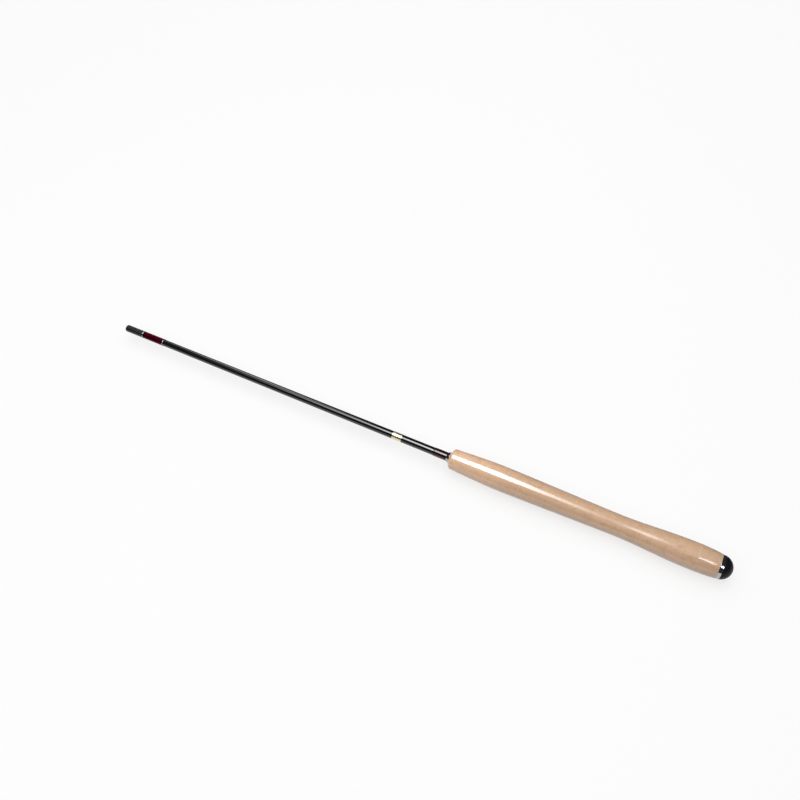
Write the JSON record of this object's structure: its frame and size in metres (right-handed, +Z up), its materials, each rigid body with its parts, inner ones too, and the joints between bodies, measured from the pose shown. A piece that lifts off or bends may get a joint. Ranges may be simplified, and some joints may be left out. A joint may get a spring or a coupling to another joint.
{
  "type": "tenkara fly rod",
  "caption": "Telescopic tenkara fly rod, collapsed, with a cork grip, a plug in its mouth and a screw-on butt cap; its sections draw out one from another.",
  "frame": {"origin": "bottom centre of the collapsed rod's box: under the middle of its length, on the surface that the grip's belly rests on", "axes": "+X along the rod from the top plug to the butt cap, +Z up, the rod's axis 11.7 mm above the origin"},
  "size_m": [0.6, 0.0234, 0.0234],
  "materials": {
    "plug_rubber": "matte moulded rubber",
    "carbon_blank": "carbon fibre blank under clear gloss lacquer",
    "inner_carbon": "ground carbon fibre under a thin satin lacquer",
    "silver_thread": "metallic winding thread under varnish",
    "crimson_thread": "dark red winding thread under varnish",
    "maroon_thread": "dark maroon winding thread under thick gloss varnish",
    "black_thread": "black winding thread under varnish",
    "gold_foil": "gold foil band under lacquer",
    "varnished_cork": "cork, filled, sanded and finished in clear gloss",
    "polished_steel": "mirror-polished rings",
    "turned_aluminium": "turned, as machined",
    "cap_rubber": "hard black rubber, matte",
    "seal_rubber": "nitrile cord",
    "cushion_foam": "closed-cell foam rubber"
  },
  "bodies": {
    "butt": {"butt_section": "carbon_blank", "mouth_trim_front": "silver_thread", "mouth_wrap": "crimson_thread", "mouth_trim_rear": "silver_thread", "gold_band": "gold_foil", "rear_trim": "black_thread", "rear_wrap": "maroon_thread", "winding_check": "polished_steel", "cork_ring_01": "varnished_cork", "cork_ring_02": "varnished_cork", "cork_ring_03": "varnished_cork", "cork_ring_04": "varnished_cork", "cork_ring_05": "varnished_cork", "cork_ring_06": "varnished_cork", "cork_ring_07": "varnished_cork", "cork_ring_08": "varnished_cork", "cork_ring_09": "varnished_cork", "cork_ring_10": "varnished_cork", "cork_ring_11": "varnished_cork", "cork_ring_12": "varnished_cork", "cork_ring_13": "varnished_cork", "cork_ring_14": "varnished_cork", "cork_ring_15": "varnished_cork", "cork_ring_16": "varnished_cork", "cork_ring_17": "varnished_cork", "cork_ring_18": "varnished_cork", "butt_ring": "polished_steel", "threaded_insert": "turned_aluminium"},
    "section_6": {"section_6": "inner_carbon"},
    "section_5": {"section_5": "inner_carbon"},
    "section_4": {"section_4": "inner_carbon"},
    "section_3": {"section_3": "inner_carbon"},
    "section_2": {"section_2": "inner_carbon"},
    "tip": {"tip_section": "inner_carbon", "tip_collar": "black_thread"},
    "plug": {"top_plug": "plug_rubber"},
    "seal": {"cap_seal": "seal_rubber"},
    "cap": {"butt_cap": "cap_rubber", "cushion_disc": "cushion_foam"}
  },
  "joints": [
    {"name": "section_6_draw", "type": "slide", "parent": "butt", "child": "section_6", "axis": [-1, 0, 0], "range_m": [0, 0.5171]},
    {"name": "section_5_draw", "type": "slide", "parent": "section_6", "child": "section_5", "axis": [-1, 0, 0], "range_m": [0, 0.4911]},
    {"name": "section_4_draw", "type": "slide", "parent": "section_5", "child": "section_4", "axis": [-1, 0, 0], "range_m": [0, 0.4921]},
    {"name": "section_3_draw", "type": "slide", "parent": "section_4", "child": "section_3", "axis": [-1, 0, 0], "range_m": [0, 0.4931]},
    {"name": "section_2_draw", "type": "slide", "parent": "section_3", "child": "section_2", "axis": [-1, 0, 0], "range_m": [0, 0.4941]},
    {"name": "tip_draw", "type": "slide", "parent": "section_2", "child": "tip", "axis": [-1, 0, 0], "range_m": [0, 0.4951]},
    {"name": "plug_pull", "type": "slide", "parent": "tip", "child": "plug", "axis": [-1, 0, 0], "range_m": [0, 0.03]},
    {"name": "cap_travel", "type": "slide", "parent": "butt", "child": "seal", "axis": [1, 0, 0], "range_m": [0, 0.008]},
    {"name": "cap_turn", "type": "hinge", "parent": "seal", "child": "cap", "pos_m": [0.3, 0, 0.0117], "axis": [1, 0, 0], "range_deg": [0, 2880]}
  ],
  "couplings": [
    {"joint": "cap_travel", "follows": "cap_turn", "m_per_rad": 0.00015915}
  ]
}
